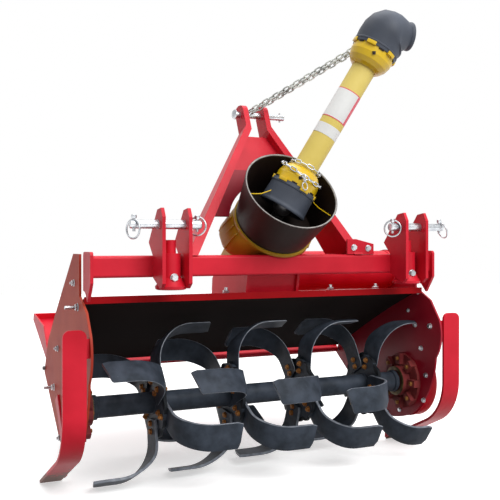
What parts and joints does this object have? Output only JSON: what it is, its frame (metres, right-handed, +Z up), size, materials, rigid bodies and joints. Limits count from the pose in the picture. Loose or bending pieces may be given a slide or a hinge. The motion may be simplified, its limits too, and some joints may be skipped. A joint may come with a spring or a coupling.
{
  "type": "rotary tiller",
  "caption": "Tractor-mounted rotary tiller with bent-blade rotor, curved hood, hitch mast and guarded PTO shaft, parked on blades and skids.",
  "frame": {"origin": "middle of the plan outline, on the floor the machine is parked on", "axes": "+X to the right seen from the tractor, along the rotor; +Y to the rear; +Z up"},
  "size_m": [1.19, 0.9791, 1.2973],
  "materials": {
    "red_paint": "gloss",
    "blade_paint": "satin",
    "gear_gold": "satin",
    "zinc": "bright",
    "steel": "satin",
    "black_guard": "satin",
    "yellow_tube": "matt",
    "yellow_cone": "gloss",
    "boot_rubber": "matt"
  },
  "bodies": {
    "frame": {"beam_end_plate_left": "red_paint", "beam_end_plate_right": "red_paint", "bearing_cover": "red_paint", "bearing_housing_left": "red_paint", "bearing_housing_right": "red_paint", "bell_guard": "black_guard", "boot_lower": "boot_rubber", "boot_upper": "boot_rubber", "chain_case": "red_paint", "clevis_left": "red_paint", "clevis_right": "red_paint", "cone_lower": "yellow_cone", "cone_upper": "yellow_cone", "cross_beam": "red_paint", "gearbox": "gear_gold", "gearbox_flange": "gear_gold", "gearbox_mount": "red_paint", "hinge_rod": "steel", "hitch_socket_left": "red_paint", "hitch_socket_right": "red_paint", "hood": "red_paint", "input_shaft": "steel", "lower_pin_left": "zinc", "lower_pin_right": "zinc", "mast_leg_left": "red_paint", "mast_leg_right": "red_paint", "mast_plate": "red_paint", "pto_guard": "yellow_tube", "pto_shaft": "steel", "restraint_chain": "zinc", "side_plate_left": "red_paint", "side_plate_right": "red_paint", "side_tube": "red_paint", "skid_bracket_left": "red_paint", "skid_bracket_right": "red_paint", "skid_left": "red_paint", "skid_right": "red_paint", "top_pin": "zinc"},
    "rotor": {"blades_1": "blade_paint", "blades_2": "blade_paint", "blades_3": "blade_paint", "blades_4": "blade_paint", "rotor_flange_1": "blade_paint", "rotor_flange_2": "blade_paint", "rotor_flange_3": "blade_paint", "rotor_flange_4": "blade_paint", "rotor_tube": "blade_paint"},
    "tailgate": {"tailgate": "red_paint"}
  },
  "joints": [
    {"name": "rotor_spin", "type": "hinge", "parent": "frame", "child": "rotor", "pos_m": [0, -0.1817, 0.21758], "axis": [1, 0, 0], "continuous": true},
    {"name": "tailgate_hinge", "type": "hinge", "parent": "frame", "child": "tailgate", "pos_m": [0, 0.2143, 0.26922], "axis": [1, 0, 0], "range_deg": [-70, 0]}
  ]
}
